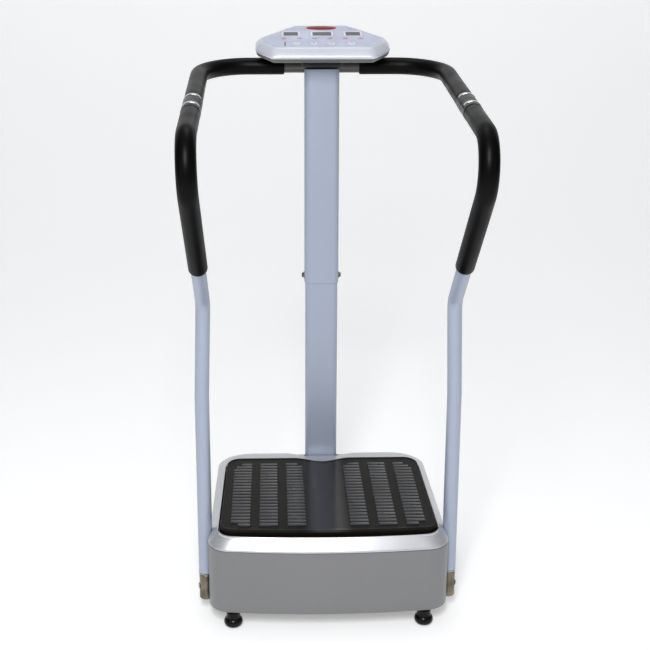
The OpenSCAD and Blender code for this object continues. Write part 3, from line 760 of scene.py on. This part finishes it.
def build_deck():
    """The tray under the mat, with a shadow groove round its edge."""
    rows = [(-5, 206), (-3, 206), (-1.8, 206.6), (-1.5, 207.6), (-1.5, 213), (-2.8, 213.5),
            (-2.8, 214.6), (-1.5, 215.1), (-1.5, 221.4), (-2, 222)]
    piece(loft("deck_tray", [lift(deck_ring(g), z) for g, z in rows]), "deck",
          28, node="platform_deck", body="platform")


RIB_COLUMNS = ((50.2, 90.7), (113.1, 154.4), (176, 218.8))
RIB_ROWS = 21
RIB_FRONT = -174
RIB_PITCH = 15.05
RIB_HALF = 4.9


def rib(x, y):
    """One rounded bar of the mat, wider at its foot."""
    return loft("rib", [lift(rounded_rectangle(
        (x[0] + x[1]) / 2, (y[0] + y[1]) / 2, x[1] - x[0] + 2 * grow, y[1] - y[0] + 2 * grow,
        1.6 + grow, 3), z)
        for grow, z in ((0.6, 227.2), (0.5, 228.2), (0.1, 229.4), (-0.6, 229.8))])


def build_mat():
    """The rubber mat: a raised bead round the edge and six columns of ribs."""
    rows = [(-1, 222), (-0.2, 222.4), (0, 223.2), (0, 226.6), (-0.4, 227.8), (-1.4, 228.5),
            (-3.2, 228.7), (-5, 228.4), (-6.2, 227.7), (-7.4, 227.4), (-14, 227.4)]
    piece(loft("mat_sheet", [lift(deck_ring(g), z) for g, z in rows]), "mat",
          30, node="rubber_mat", body="platform")
    ribs = []
    for row in range(RIB_ROWS):
        y = RIB_FRONT + RIB_PITCH * row
        for column, (x0, x1) in enumerate(RIB_COLUMNS):
            if column == 2:
                x1 -= {0: 16, RIB_ROWS - 1: 18, RIB_ROWS - 2: 6}.get(row, 0)
            if column == 0 and row == RIB_ROWS - 1:
                x0 += 12
            ribs += [rib(sided(sign, x0, x1), spanned(y, RIB_HALF)) for sign in (-1, 1)]
    # painted highlight: the ribs' lighter grey stands in for light falling on their tops
    piece(join("mat_ribs", ribs), "rib", 40, body="platform")


# ---- column

LOWER_KINK = 478
UPPER_KINK = 954
LEAN = ((50, 208.7), (LOWER_KINK, 223.6), (UPPER_KINK, 252.7), (1215, 277.8))
POST_WIDTH = 80
POST_DEPTH = 46
POST_WALL = 2
SLEEVE_OUT = 2.2
POST_BOLT_Z = 684


def post_front(z):
    """How far back the lower tube's front face stands at height z."""
    return float(np.interp(z, [r[0] for r in LEAN], [r[1] for r in LEAN]))


def post_tube(name, low, bend, high, out, radius):
    """A leaning rectangular tube, out by that much all round, with a break at its bend."""
    width, depth = POST_WIDTH + 2 * out, POST_DEPTH + 2 * out

    def ring(z, inset):
        return lift(rounded_rectangle(0, post_front(z) - out + depth / 2, width - 2 * inset,
                                      depth - 2 * inset, max(radius - inset, 1), 8), z)

    rows = [(low, 0.7), (low + 0.8, 0), (bend, 0), (high - 0.8, 0), (high, 0.7)]
    rows += [(z, POST_WALL) for z in (high, bend, low)]
    return loft(name, [ring(z, inset) for z, inset in rows], closed=True)


def crease(obj, height):
    """Marks the level edges at a bend sharp, so that the light breaks there."""
    for edge in obj.data.edges:
        if all(abs(obj.data.vertices[i].co.z - height * MM) < 1e-5 for i in edge.vertices):
            edge.use_edge_sharp = True


def build_posts():
    """Two nested tubes, the upper one saddled for the crossbar, and the bolt through them."""
    lower = post_tube("lower_post_tube", 50, LOWER_KINK, 820, 0, 12)
    upper = post_tube("upper_post_tube", 668, UPPER_KINK, 1192, SLEEVE_OUT, 14)
    cut(upper, revolve("saddle", [(RAIL_R, -60), (RAIL_R, 60)], sideways(0, BAR_Y, BAR_Z), 56))
    piece(lower, "post", node="lower_post")
    piece(upper, "post", node="upper_post")
    crease(lower, LOWER_KINK)
    crease(upper, UPPER_KINK)
    bolt_y = post_front(POST_BOLT_Z) + POST_DEPTH / 2
    seat = POST_WIDTH / 2 + SLEEVE_OUT
    bolt = [hex_bolt(sideways(seat * sign, bolt_y, POST_BOLT_Z, sign)) for sign in (-1, 1)]
    bolt.append(revolve("shank", [(5, -43), (5, 43)], sideways(0, bolt_y, POST_BOLT_Z), 24))
    piece(join("post_bolt_heads", bolt), "dark_steel", node="post_bolt")


# ---- console

CONSOLE = Matrix.Translation(at(0, 200, 1209.7)) @ Matrix.Rotation(radians(15), 4, "X")
LIP = ((120, 3), (159, 50), (159, 105), (70, 190))
FACE = ((113, 21), (148, 58), (148, 92), (63, 181))
CONSOLE_R = 16
FACE_W = 33.4
FILM_W = FACE_W + 0.8
WINDOWS = ((-74.5, 34), (0, 44), (74.5, 34))
WINDOW_V = 117
WINDOW_H = 27
KEYS = (-62, -21, 20, 68)
KEY_V = 49
CUT_W = (25, 40)
LAMPS = {-92: "red", -54: "grey", -18: "grey", 18: "grey", 54: "red", 92: "red"}
LAMP_V = 82
BADGE_V = 158.5
MIDDLE = (0, 98)


def inset_polygon(points, inset):
    """A convex counter-clockwise polygon drawn in by inset."""
    lines = []
    for (ax, ay), (bx, by) in zip(points, points[1:] + points[:1]):
        length = hypot(bx - ax, by - ay)
        nx, ny = (by - ay) / length, (ax - bx) / length
        lines.append((nx, ny, nx * ax + ny * ay - inset))
    corners = []
    for (a, b, c), (d, e, f) in zip([lines[-1]] + lines[:-1], lines):
        turn = a * e - b * d
        corners.append(((c * e - b * f) / turn, (a * f - c * d) / turn))
    return corners


def octagon_ring(half, inset):
    """A ring round the console's outline, drawn in by inset."""
    points = list(half) + [(-x, v) for x, v in reversed(half)]
    circles = [(x, v, CONSOLE_R - inset) for x, v in inset_polygon(points, CONSOLE_R)]
    return radial(hull_outline(circles), MIDDLE, 288)


def stacked(half, *rows):
    """(ring, height) rows from (inset, height) rows of one outline."""
    return [(octagon_ring(half, inset), w) for inset, w in rows]


def console_loft(name, rows):
    """Skins (ring, height) rows in the console's frame."""
    return loft(name, [[CONSOLE @ mm(x, v, w) for x, v in ring] for ring, w in rows])


def flat_bar(x, v, width, height, radius, steps, w0, w1):
    """A thin plate with round corners that lies in the console's face."""
    ring = rounded_rectangle(x, v, width, height, radius, steps)
    return console_loft("bar", [(ring, w0), (ring, w1)])


def on_console(x, v):
    return CONSOLE @ Matrix.Translation(mm(x, v, 0))


def console_cutters():
    """Holes for the display windows and the keys."""
    holes = [placed_box("hole", CONSOLE, spanned(x, width / 2), spanned(WINDOW_V, WINDOW_H / 2),
                        CUT_W, 1) for x, width in WINDOWS]
    return holes + [revolve("hole", [(9.7, w) for w in CUT_W], on_console(x, KEY_V), 40)
                    for x in KEYS]


def build_console_shells():
    """The grey tray below and the silver cover above, both hollow."""
    tray = console_loft("console_tray", stacked(
        LIP, (14, 0.2), (10.5, 0), (9, 0.3), (7.8, 1), (5.6, 3), (4, 5.2), (2.8, 7.4), (2.1, 9),
        (2, 10.4), (2.6, 10.9)))
    hollow = console_loft("hollow", stacked(LIP, (11, 2.5), (5, 12)))
    piece(cut(tray, hollow), "console_dark", 30, node="console_lower_shell")
    lip, face = octagon_ring(LIP, 0), octagon_ring(FACE, 0)
    upper = stacked(LIP, (2.8, 11), (2.0, 11.2), (1.5, 11.9), (0.5, 15.4), (0.1, 16.9), (0, 17.7))
    for t in (0.03, 0.09, 0.2, 0.4, 0.6, 0.8, 0.91, 0.97):
        upper.append((between(lip, face, t), 18.3 + 14.6 * t + sin(pi * t)))
    upper += stacked(FACE, (0.3, 33.0), (1.4, 33.3), (3, FACE_W), (9, FACE_W))
    inner = stacked(LIP, (4.4, 9), (3, 17.7)) + stacked(FACE, (3, 30.8))
    cover = cut(console_loft("console_cover", upper), console_loft("hollow", inner),
                *console_cutters())
    piece(cover, "console", 30, node="console_upper_shell")


def build_film():
    """The printed film on the console's face, with its frames, lines and marks."""
    film = console_loft("console_film", stacked(
        FACE, (7, FACE_W - 0.02), (7, FILM_W - 0.2), (7.3, FILM_W), (12, FILM_W)))
    piece(cut(film, *console_cutters()), "overlay", 30, node="console_overlay")
    marks = {f"print_{ink}": [] for ink in ("white", "line", "red", "dark")}

    def mark(ink, x, v, width, height, rise=0.06):
        marks[ink].append(flat_bar(x, v, width, height, min(width, height) * 0.3, 3,
                                   FILM_W - 0.02, FILM_W + rise))

    def outline(ink, x, v, width, height, line):
        for side in (-1, 1):
            mark(ink, x + side * (width - line) / 2, v, line, height)
            mark(ink, x, v + side * (height - line) / 2, width, line)

    for x, width in WINDOWS:
        outline("print_white", x, WINDOW_V, width + 9, WINDOW_H + 7, 3.2)
        outline("print_line", x, WINDOW_V + 9, width + 16, WINDOW_H + 31, 0.5)
    for x in (-84, -70, -6, 9, 70, 84):
        mark("print_red" if x == -84 else "print_line", x, 150, 9, 2.2)
    mark("print_red", -41, 150, 5, 4)
    mark("print_dark", -89, 46.6, 3.6, 30)
    for k in range(4):
        mark("print_white", -89, 36 + 7 * k, 2.4, 1.2, 0.1)
    for x in KEYS:
        outline("print_line", x, KEY_V - 0.5, 29, 27, 0.45)
        mark("print_line", x + 5, KEY_V + 17, 14, 1.4)
    for x in LAMPS:
        mark("print_line", x, LAMP_V + 8, 12, 1.2)
    for ink, parts in marks.items():
        piece(join(f"film_{ink}", parts), ink)


def seven_segments(cx, cv, width, height):
    """The unlit bars of one digit, leaning a little."""
    stroke = 1.2
    bars = [(0.12 * v, v, width - 1.6 * stroke, stroke) for v in (-height / 2, 0, height / 2)]
    bars += [(side * width / 2 + 0.12 * v, v, stroke, height / 2 - stroke)
             for side in (-1, 1) for v in (-height / 4, height / 4)]
    return [flat_bar(cx + x, cv + v, w, h, 0.5, 2, FACE_W + 0.13, FACE_W + 0.19)
            for x, v, w, h in bars]


def build_windows():
    """The display panes, with unlit digits behind the glass."""
    panes, digits = [], []
    for x, width in WINDOWS:
        panes.append(placed_box("pane", CONSOLE, spanned(x, width / 2 - 0.1),
                                spanned(WINDOW_V, WINDOW_H / 2 - 0.1),
                                (FACE_W - 2, FACE_W + 0.15), 0.3))
        count = 4 if width > 40 else 3
        for k in range(count):
            cx = x + (k - (count - 1) / 2) * width / (count + 0.6)
            digits += seven_segments(cx, WINDOW_V, 6.2, 13)
    piece(join("display_panes", panes), "window", node="display_windows")
    piece(join("display_digits", digits), "digit")


def build_lamps():
    """Six flat oval lenses, three of them red."""
    groups = {"red": [], "grey": []}
    for x, color in LAMPS.items():
        place = on_console(x, LAMP_V) @ Matrix.Diagonal((7.0, 3.0, 1, 1))
        groups[color].append(revolve("lens", [
            (1, FACE_W), (1, FILM_W + 0.1), (0.86, FILM_W + 0.35), (0.5, FILM_W + 0.45)],
            place, 40))
    piece(join("lamp_lenses_red", groups["red"]), "print_red", node="indicator_lamps")
    piece(join("lamp_lenses_grey", groups["grey"]), "lamp_grey")


def build_badge():
    """A plain domed oval with a bright rim and nothing on it."""
    shape = on_console(0, BADGE_V) @ Matrix.Diagonal((2.0, 0.73, 1, 1))
    profile = [(17.2, 0), (17.2, 0.9), (15.5, 1.4), (10, 1.9), (4, 2.1)]
    rim = [(17.1, 0), (18.4, 0), (18.5, 0.5), (18.1, 1.1), (17.1, 1.0)]
    profile, rim = ([(r, FILM_W + w) for r, w in rows] for rows in (profile, rim))
    piece(revolve("badge_dome", profile, shape, 96), "badge", 40,
          node="console_badge")
    piece(revolve("badge_rim", rim, shape, 96, closed=True), "badge_rim", 40)


def build_keys():
    """Four round keys with a dished top and a small printed sign each."""
    signs = (((0, 0, 5, 1.3),), ((0, 1.6, 5, 1.3), (0, -1.6, 5, 1.3)),
             ((0, 0, 5.2, 1.3), (0, 0, 1.3, 5.2)), ((-1.6, 0, 1.3, 5), (1.6, 0, 1.3, 5)))
    top = FILM_W + 1.2
    for k, x in enumerate(KEYS):
        profile = [(10.7, 28), (10.7, 29.5), (9.2, 29.5), (9.2, top - 1.2), (8.9, top - 0.5),
                   (8.2, top - 0.05), (7.2, top), (5, top - 0.25), (2, top - 0.4)]
        cap = revolve(f"key_cap_{k + 1}", profile, on_console(x, KEY_V), 56)
        name = f"key_{k + 1}"
        piece(cap, "key", 38, node=name, body=name)
        bars = [flat_bar(x + dx, KEY_V + dv, w, h, 0.4, 2, top - 0.45, top - 0.15)
                for dx, dv, w, h in signs[k]]
        piece(join(f"key_sign_{k + 1}", bars), "print_dark", body=name)


# ---- feet, wheels, back


def build_feet():
    """Four levelling feet, each a rubber bulb under a locknut."""
    bulb = [(11.5, 0), (13, 0.4)]
    bulb += [(11.6 + 9.4 * cos(a), 11 + 10.6 * sin(a))
             for a in (radians(-72 + 12 * i) for i in range(12))]
    bulb += [(15.4, 24.5), (15.2, 30), (15.6, 33), (15.2, 35.4), (14, 36), (6, 36)]
    for name in ("front_left", "front_right", "rear_left", "rear_right"):
        place = Matrix.Translation(JOINTS[f"{name}_foot_turn"])
        body = f"{name}_foot"
        piece(revolve(f"{name}_bulb", bulb, place, 64), "foot", 40, node=body,
              body=body)
        piece(revolve(f"{name}_locknut", [(9.2, 37), (9.2, 42.5)], place, 6),
              "zinc")


def build_wheels():
    """Two transport wheels, each a rubber tyre on a cast hub."""
    tyre = [(12, -7.5), (19, -8.4), (21.5, -8), (23.2, -6.4), (23.9, -3.6), (24, 0), (23.9, 3.6),
            (23.2, 6.4), (21.5, 8), (19, 8.4), (12, 7.5)]
    hub = [(4.05, -9), (7.5, -9), (8, -8.2), (8.2, -5), (11, -4.4), (12.4, -6.8), (13.2, -6.8),
           (13.2, 6.8), (12.4, 6.8), (11, 4.4), (8.2, 5), (8, 8.2), (7.5, 9), (4.05, 9)]
    for hand in ("left", "right"):
        place = facing(JOINTS[f"{hand}_wheel_roll"], (1, 0, 0))
        body = f"{hand}_wheel"
        piece(revolve(f"{hand}_tyre", tyre, place, 72, closed=True), "tyre",
              35, node=body, body=body)
        piece(revolve(f"{hand}_hub", hub, place, 48, closed=True), "cast",
              35, body=body)


INLET_X = 136
INLET_Z = 110
SWITCH_X = 169.5


def rocker_profile():
    """The rocker's side view: a round back and a shallow V in front."""
    back = [(11.6 * cos(a), 11.6 * sin(a)) for a in (radians(132 + 8 * i) for i in range(13))]
    back = [(max(y, -5), z) for y, z in back]
    return [(7.9, 8.4), (4, 10.9)] + back + [(4, -10.9), (7.9, -8.4), (6.9, 0)]


def build_back():
    """The inlet's panel, socket, pins and screws, and the rocker with its signs."""
    def block(name, wide, y, tall, edge, segments=2, x=INLET_X):
        return box_mm(name, spanned(x, wide), y, spanned(INLET_Z, tall), edge, segments)

    panel = block("inlet_panel", 42, (263, 267.5), 28, 1.2, x=150)
    body = block("inlet_body", 16, (240, 268.6), 13, 2.0, 3)
    cut(panel, block("socket_hole", 15, (238, 272), 12, 1),
        block("switch_hole", 7.5, (240, 272), 12.5, 0.5, x=SWITCH_X))
    cut(body, block("socket", 13, (244, 272), 10, 2.5, 3))
    piece(panel, "black_plastic", node="power_inlet")
    piece(body, "black_plastic")
    pins = [block("pin", 1, (243, 258), 2, 0.3, x=INLET_X + dx) for dx in (-7, 0, 7)]
    piece(join("inlet_pins", pins), "steel")
    screws = [screw(at(x, 267.4, z), (0, 1, 0), 3, 1.6) for x in (113.5, 186.5) for z in (88, 132)]
    piece(join("inlet_screws", screws), "zinc")
    hub = at(SWITCH_X, 260, INLET_Z)
    tilt = Matrix.Translation(hub) @ Matrix.Rotation(radians(9), 4, "X")
    rows = [[tilt @ mm(x, y * share, z * share) for y, z in rocker_profile()]
            for x, share in ((-6.9, 0.98), (-6.4, 1), (6.4, 1), (6.9, 0.98))]
    piece(loft("rocker_cap", rows), "switch", 35, node="power_switch",
          body="rocker_switch")
    bar = placed_box("on_bar", tilt, spanned(0, 0.5), (7.0, 7.9), (-8.4, -4.4), 0.1)
    ring = revolve("off_ring", [(1.6, 0), (2.2, 0), (2.2, 0.5), (1.6, 0.5)], tilt
                   @ facing(mm(0, 7.4, 6.2), (0, 1, 0)), 32, closed=True)
    piece(join("rocker_signs", [bar, ring]), "key", body="rocker_switch")


def build_underside():
    """Screws and vents of the bottom plate, and the screws under the console."""
    spots = [(x, y) for x in (-190, 0, 190) for y in (-190, 235)] + [(-235, 10), (235, 10)]
    screws = [screw(at(x, y, 42.5), (0, 0, -1), 4.5, 2.2) for x, y in spots]
    piece(join("bottom_screws", screws), "zinc")
    slots = [box_mm("slot", (x, x + 5), (y, y + 46), (42.1, 43.0), 0.2, 1)
             for y in (-70, 20) for x in range(-60, 61, 12)]
    piece(join("bottom_vents", slots), "black_plastic")
    down = CONSOLE.to_3x3() @ Vector((0, 0, -1))
    screws = [screw(CONSOLE @ mm(x * sign, v, 0), down, 3.2, 1.6)
              for x, v in ((105, 30), (130, 90), (60, 168)) for sign in (-1, 1)]
    piece(join("console_screws", screws), "zinc")


CAD_PAINT = {
    "frame": ("bottom_plate", "base_frame", "platform_frame", "console_bracket", "motor_housing"),
    "steel": ("pivot_shaft", "rod_pins", "eccentric_shaft", "foot_studs", "wheel_axles"),
    "cast": ("pivot_bearings", "shaft_bearings"),
    "aluminium": ("driven_pulley", "motor_pulley", "left_connecting_rod", "right_connecting_rod"),
    "tyre": ("drive_belt", "bump_stops"),
    "zinc": ("motor_bracket",),
    "copper": ("motor_rotor",),
    "core": ("transformer",),
    "board": ("control_board", "console_board"),
}


def paint_frame():
    """Better materials for the CAD nodes that stay."""
    for paint, nodes in CAD_PAINT.items():
        for node in nodes:
            obj = frame["nodes"][node]
            if not obj.material_slots:
                obj.data.materials.append(PAINT[paint])
            for held in obj.material_slots:
                held.material = PAINT[paint]


# ---- studio


def add_light(name, place, target, size, energy, color=(1, 1, 1)):
    light = bpy.data.lights.new(name, "AREA")
    light.shape = "RECTANGLE"
    light.size, light.size_y = size
    light.energy = energy
    light.color = color
    obj = add_object(name, light)
    obj.location = place
    obj.rotation_euler = (Vector(target) - Vector(place)).to_track_quat("-Z", "Y").to_euler()


FLOOR_HALF = 5
SWEEP_START = 2.5
SWEEP_R = 1.5


def build_studio():
    """A white floor that curves up into a wall, and four soft lights."""
    profile = [(-FLOOR_HALF, 0), (SWEEP_START, 0)]
    profile += [(SWEEP_START + SWEEP_R * sin(a), SWEEP_R - SWEEP_R * cos(a))
                for a in (pi / 2 * i / 12 for i in range(1, 13))]
    profile.append((SWEEP_START + SWEEP_R, 4))
    points = [(x, y, z) for x in (-FLOOR_HALF, FLOOR_HALF) for y, z in profile]
    count = len(profile)
    floor = add_mesh("studio_floor", points,
                     [(i, i + 1, i + 1 + count, i + count) for i in range(count - 1)])
    floor.data.shade_smooth()
    made, shader = new_material("studio_white", (0.90, 0.90, 0.90), 0.9, specular=0.0)
    shader.inputs["Emission Color"].default_value = (1, 1, 1, 1)
    shader.inputs["Emission Strength"].default_value = 0.34
    floor.data.materials.append(made)
    add_light("key", (-0.35, -2.6, 2.9), (0, 0, 0.65), (0.8, 1.5), 80)
    add_light("top", (0, 0.7, 3.2), (0, 0, 0.4), (1.2, 0.8), 9)
    for name, x, energy in (("left_fill", -2.6, 4), ("right_fill", 2.6, 3)):
        add_light(name, (x, -2.2, 1.5), (0, 0, 0.7), (0.8, 1.8), energy, (0.90, 0.94, 1))
    bpy.context.scene.world = build_world()
    bpy.context.scene.view_settings.view_transform = "Standard"


def build_world():
    """Pale above and in front, dimmer to both sides, so that round edges fall off."""
    world = bpy.data.worlds.new("studio")
    world.use_nodes = True
    fall = mapped(world, from_middle(world, "Generated"), (0.35, 0.85), (0.36, 0.12), "SMOOTHSTEP")
    background = world.node_tree.nodes["Background"]
    background.inputs["Color"].default_value = (0.93, 0.96, 1, 1)
    world.node_tree.links.new(fall, background.inputs["Strength"])
    return world


def build_camera():
    """A camera in front, a little to the left and above, looking down."""
    camera = bpy.data.cameras.new("camera")
    camera.lens = 61.34
    camera.sensor_width = 36
    camera.shift_x = 0.0419
    camera.shift_y = -0.0938
    obj = add_object("camera", camera)
    obj.location = at(-121.9, -2402.0, 1461.7)
    obj.rotation_euler = (radians(90 - 15.73), 0, radians(-1.36))
    bpy.context.scene.camera = obj


for step in (build_camera, build_studio, paint_frame, build_housing, build_cover, build_deck,
             build_mat, build_posts):
    step()
for step in (build_handrail, build_grips, build_collar):
    for hand, sign in (("left", -1), ("right", 1)):
        step(hand, sign)
for step in (build_crossbar, build_sockets, build_console_shells, build_film, build_windows,
             build_lamps, build_badge, build_keys, build_feet, build_wheels, build_back,
             build_underside):
    step()
